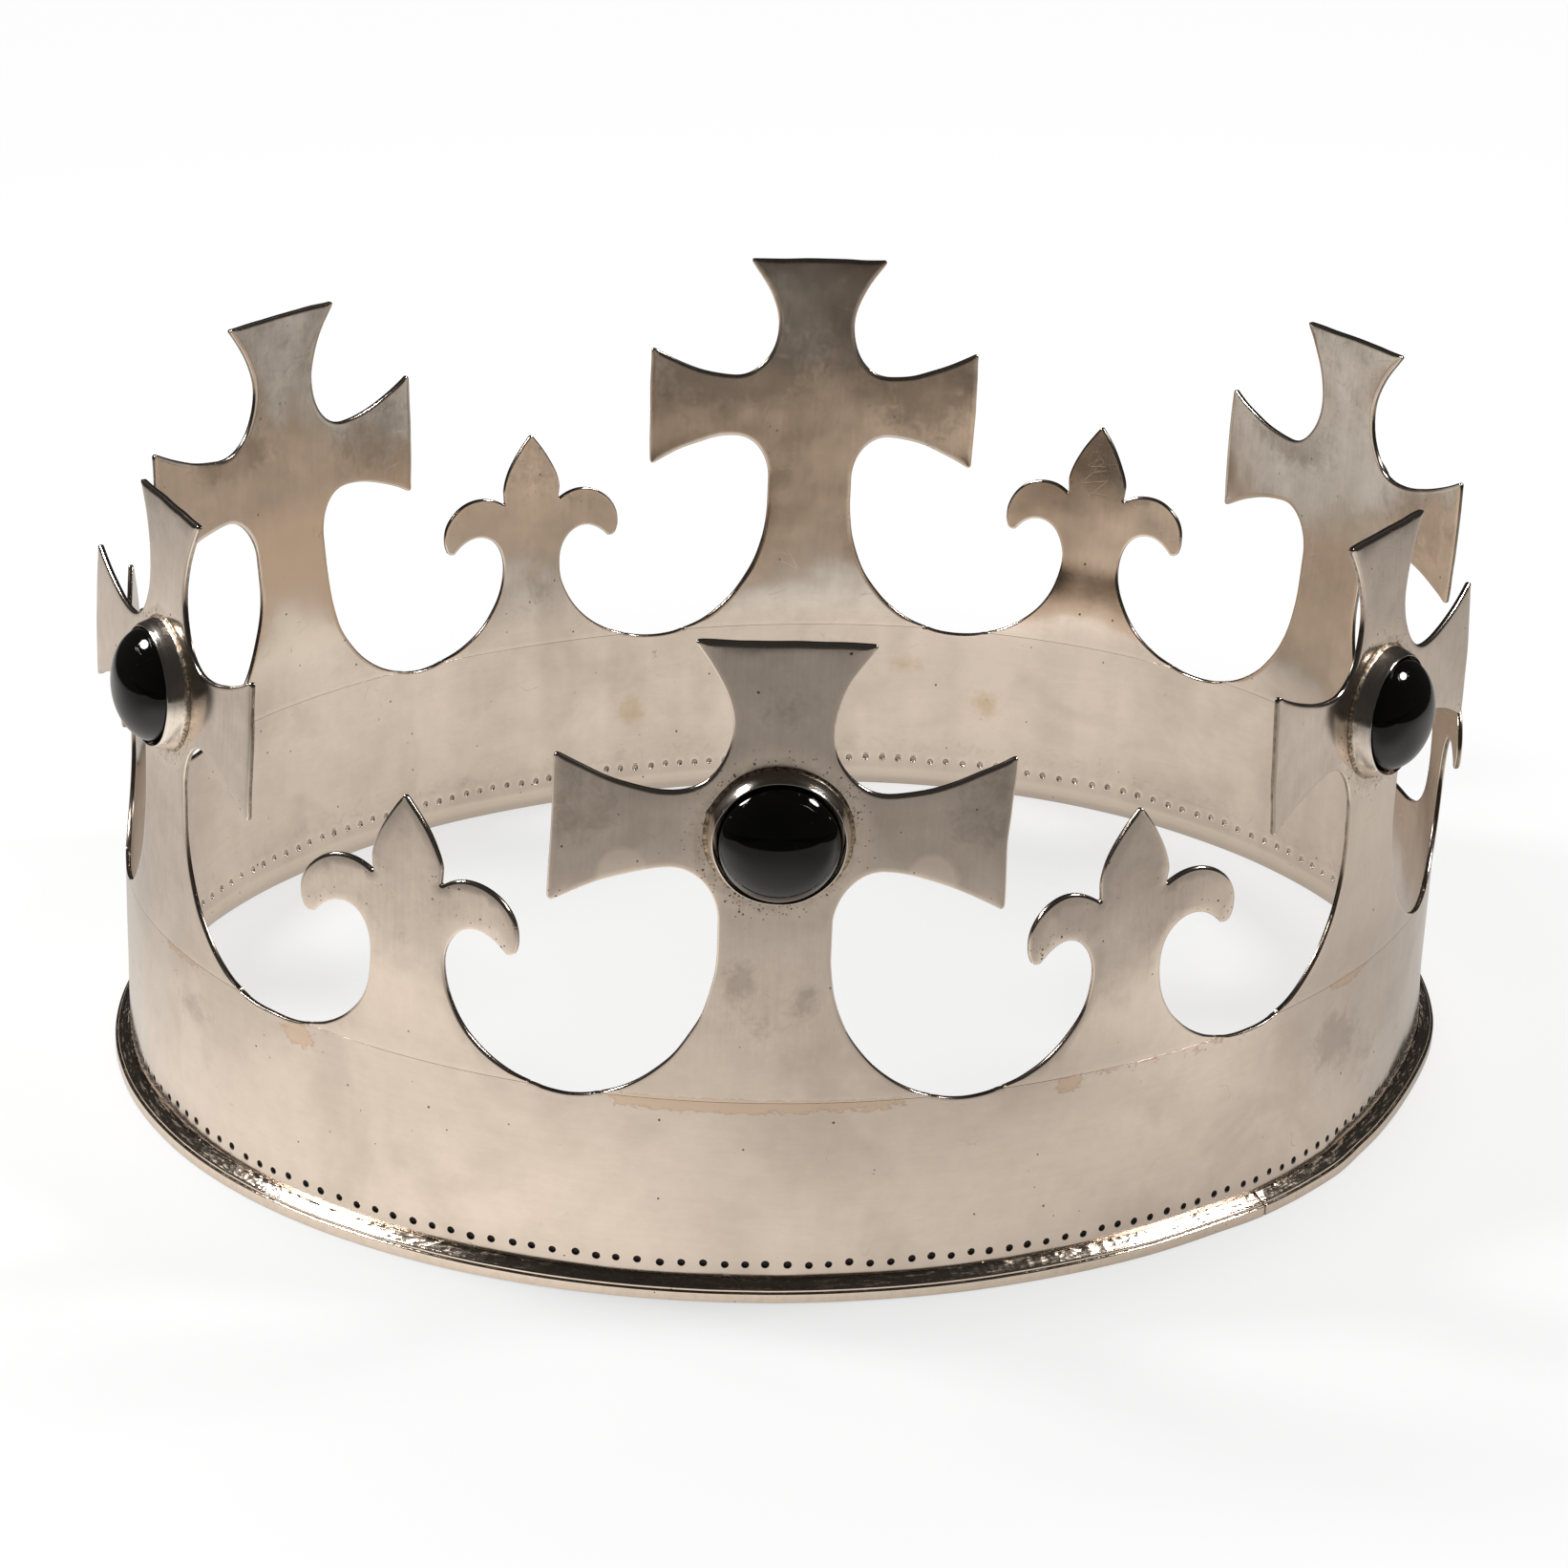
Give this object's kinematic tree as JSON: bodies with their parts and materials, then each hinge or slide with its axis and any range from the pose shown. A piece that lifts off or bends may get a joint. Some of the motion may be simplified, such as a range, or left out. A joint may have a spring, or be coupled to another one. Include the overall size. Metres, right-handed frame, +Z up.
{
  "type": "crown",
  "caption": "Open crown of polished sheet silver: an oval hoop on a moulded foot rim carries crosses pattée and fleurs-de-lis in turn, and each cross is set with a domed black cabochon.",
  "frame": {"origin": "middle of the box's footprint, on the plane the crown stands on", "axes": "+Z up; -Y is the front, where the first cross stands; +X to the right seen from the front"},
  "size_m": [0.2056, 0.2042, 0.0953],
  "materials": {
    "silver": "polished sheet silver, slightly tarnished, with fine scratches",
    "silver_moulding": "drawn and polished silver with darkened hollows",
    "silver_cross": "polished sheet silver with cut edges",
    "silver_fleur": "polished sheet silver with cut edges",
    "silver_collar": "burnished silver strip with a rough solder line at its foot",
    "silver_ledge": "plain silver wire, hidden under the stone",
    "black_stone": "opaque black polished cabochon"
  },
  "bodies": {
    "root": {"hoop": "silver", "rim_moulding": "silver_moulding", "cross_1": "silver_cross", "cross_2": "silver_cross", "cross_3": "silver_cross", "cross_4": "silver_cross", "cross_5": "silver_cross", "cross_6": "silver_cross", "fleur_1": "silver_fleur", "fleur_2": "silver_fleur", "fleur_3": "silver_fleur", "fleur_4": "silver_fleur", "fleur_5": "silver_fleur", "fleur_6": "silver_fleur", "bezel_1": "silver_collar", "bezel_2": "silver_collar", "bezel_3": "silver_collar", "bezel_4": "silver_collar", "bezel_5": "silver_collar", "bezel_6": "silver_collar", "bearing_1": "silver_ledge", "bearing_2": "silver_ledge", "bearing_3": "silver_ledge", "bearing_4": "silver_ledge", "bearing_5": "silver_ledge", "bearing_6": "silver_ledge", "stone_1": "black_stone", "stone_2": "black_stone", "stone_3": "black_stone", "stone_4": "black_stone", "stone_5": "black_stone", "stone_6": "black_stone"}
  },
  "joints": []
}
